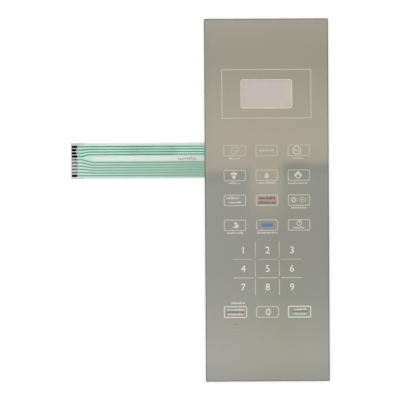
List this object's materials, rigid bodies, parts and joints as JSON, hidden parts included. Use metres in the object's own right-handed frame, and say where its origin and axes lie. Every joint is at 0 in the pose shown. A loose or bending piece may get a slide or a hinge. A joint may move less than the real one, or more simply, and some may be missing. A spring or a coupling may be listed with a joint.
{
  "type": "membrane keypad",
  "caption": "Flat membrane keypad: a printed film face with framed keys and a display window over a switch laminate, with a film tail that ends in bare contacts.",
  "frame": {"origin": "centre of the panel's rear face, on the underside of the release liner", "axes": "+Z out of the printed face, +Y along the panel towards the display window, +X to the right seen from the front, so the tail runs towards -X"},
  "size_m": [0.2037, 0.287, 0.0013],
  "materials": {
    "overlay_film": "satin metallic print on polyester film",
    "lens_film": "clear glossy film",
    "adhesive": "milky adhesive sheet",
    "clear_film": "clear polyester film",
    "spacer_film": "cream spacer film",
    "silver_ink": "screen-printed silver",
    "carbon_ink": "screen-printed carbon",
    "insulator_ink": "thin green insulating print",
    "stiffener_film": "white polyester",
    "liner_paper": "coated release paper"
  },
  "bodies": {
    "root": {"graphic_overlay": "overlay_film", "display_lens": "lens_film", "overlay_adhesive": "adhesive", "upper_circuit_film": "clear_film", "row_line_1": "silver_ink", "row_line_2": "silver_ink", "row_line_3": "silver_ink", "row_line_4": "silver_ink", "spacer": "spacer_film", "transfer_dot_1": "silver_ink", "transfer_dot_2": "silver_ink", "transfer_dot_3": "silver_ink", "transfer_dot_4": "silver_ink", "lower_circuit_film": "clear_film", "column_line_1": "silver_ink", "column_line_2": "silver_ink", "column_line_3": "silver_ink", "column_line_4": "silver_ink", "column_line_5": "silver_ink", "column_line_6": "silver_ink", "row_tail_line_1": "silver_ink", "row_tail_line_2": "silver_ink", "row_tail_line_3": "silver_ink", "row_tail_line_4": "silver_ink", "contact_1": "carbon_ink", "contact_2": "carbon_ink", "contact_3": "carbon_ink", "contact_4": "carbon_ink", "contact_5": "carbon_ink", "contact_6": "carbon_ink", "contact_7": "carbon_ink", "contact_8": "carbon_ink", "contact_9": "carbon_ink", "contact_10": "carbon_ink", "tail_insulator": "insulator_ink", "tail_stiffener": "stiffener_film", "rear_adhesive": "adhesive", "release_liner": "liner_paper"}
  },
  "joints": []
}
